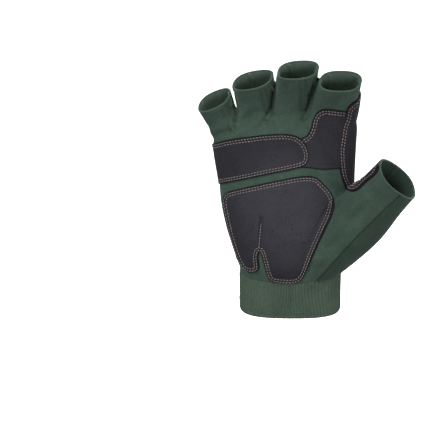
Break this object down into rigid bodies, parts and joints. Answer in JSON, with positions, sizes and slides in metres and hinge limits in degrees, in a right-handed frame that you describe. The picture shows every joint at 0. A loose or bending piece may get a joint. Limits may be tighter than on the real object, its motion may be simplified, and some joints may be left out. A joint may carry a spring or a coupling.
{
  "type": "half-finger glove",
  "caption": "Right-hand half-finger fishing glove held in its worn shape, with padded palm patches, ribbed back, elastic cuff and hook-and-loop wrist strap.",
  "frame": {"origin": "middle of the opening at the bottom edge of the cuff", "axes": "+Z from the wrist to the fingertips, -Y out of the palm, +X towards the thumb"},
  "size_m": [0.1486, 0.0746, 0.1817],
  "materials": {
    "palm_suede": "soft napped synthetic suede, dark green",
    "thumb_suede": "soft napped synthetic suede, darker green",
    "ribbed_knit": "finely ribbed stretch knit, dark green",
    "fourchette_suede": "soft napped synthetic suede, dark green",
    "cuff_elastic": "ribbed knitted elastic, dark green",
    "strap_elastic": "woven elastic strap, dark green",
    "hook_loop": "black hook-and-loop panel, matt",
    "edge_tape": "folded binding tape, olive green",
    "pad_leather": "finely grained black synthetic leather, satin",
    "terry": "black looped terry, matt",
    "ribbon": "black woven ribbon with a slight sheen"
  },
  "bodies": {
    "root": {"palm_panel": "palm_suede", "back_panel": "ribbed_knit", "thumb_back_panel": "thumb_suede", "thumb_wipe_panel": "terry", "fourchette_index_middle": "fourchette_suede", "fourchette_middle_ring": "fourchette_suede", "fourchette_ring_little": "fourchette_suede", "upper_palm_pad": "pad_leather", "index_pad": "pad_leather", "thumb_crotch_pad": "pad_leather", "heel_pad": "pad_leather", "vent_binding": "edge_tape", "middle_pull_loop": "ribbon", "ring_pull_loop": "ribbon", "cuff_band": "cuff_elastic", "wrist_strap": "strap_elastic", "strap_hook_panel": "hook_loop", "strap_binding": "edge_tape"}
  },
  "joints": []
}
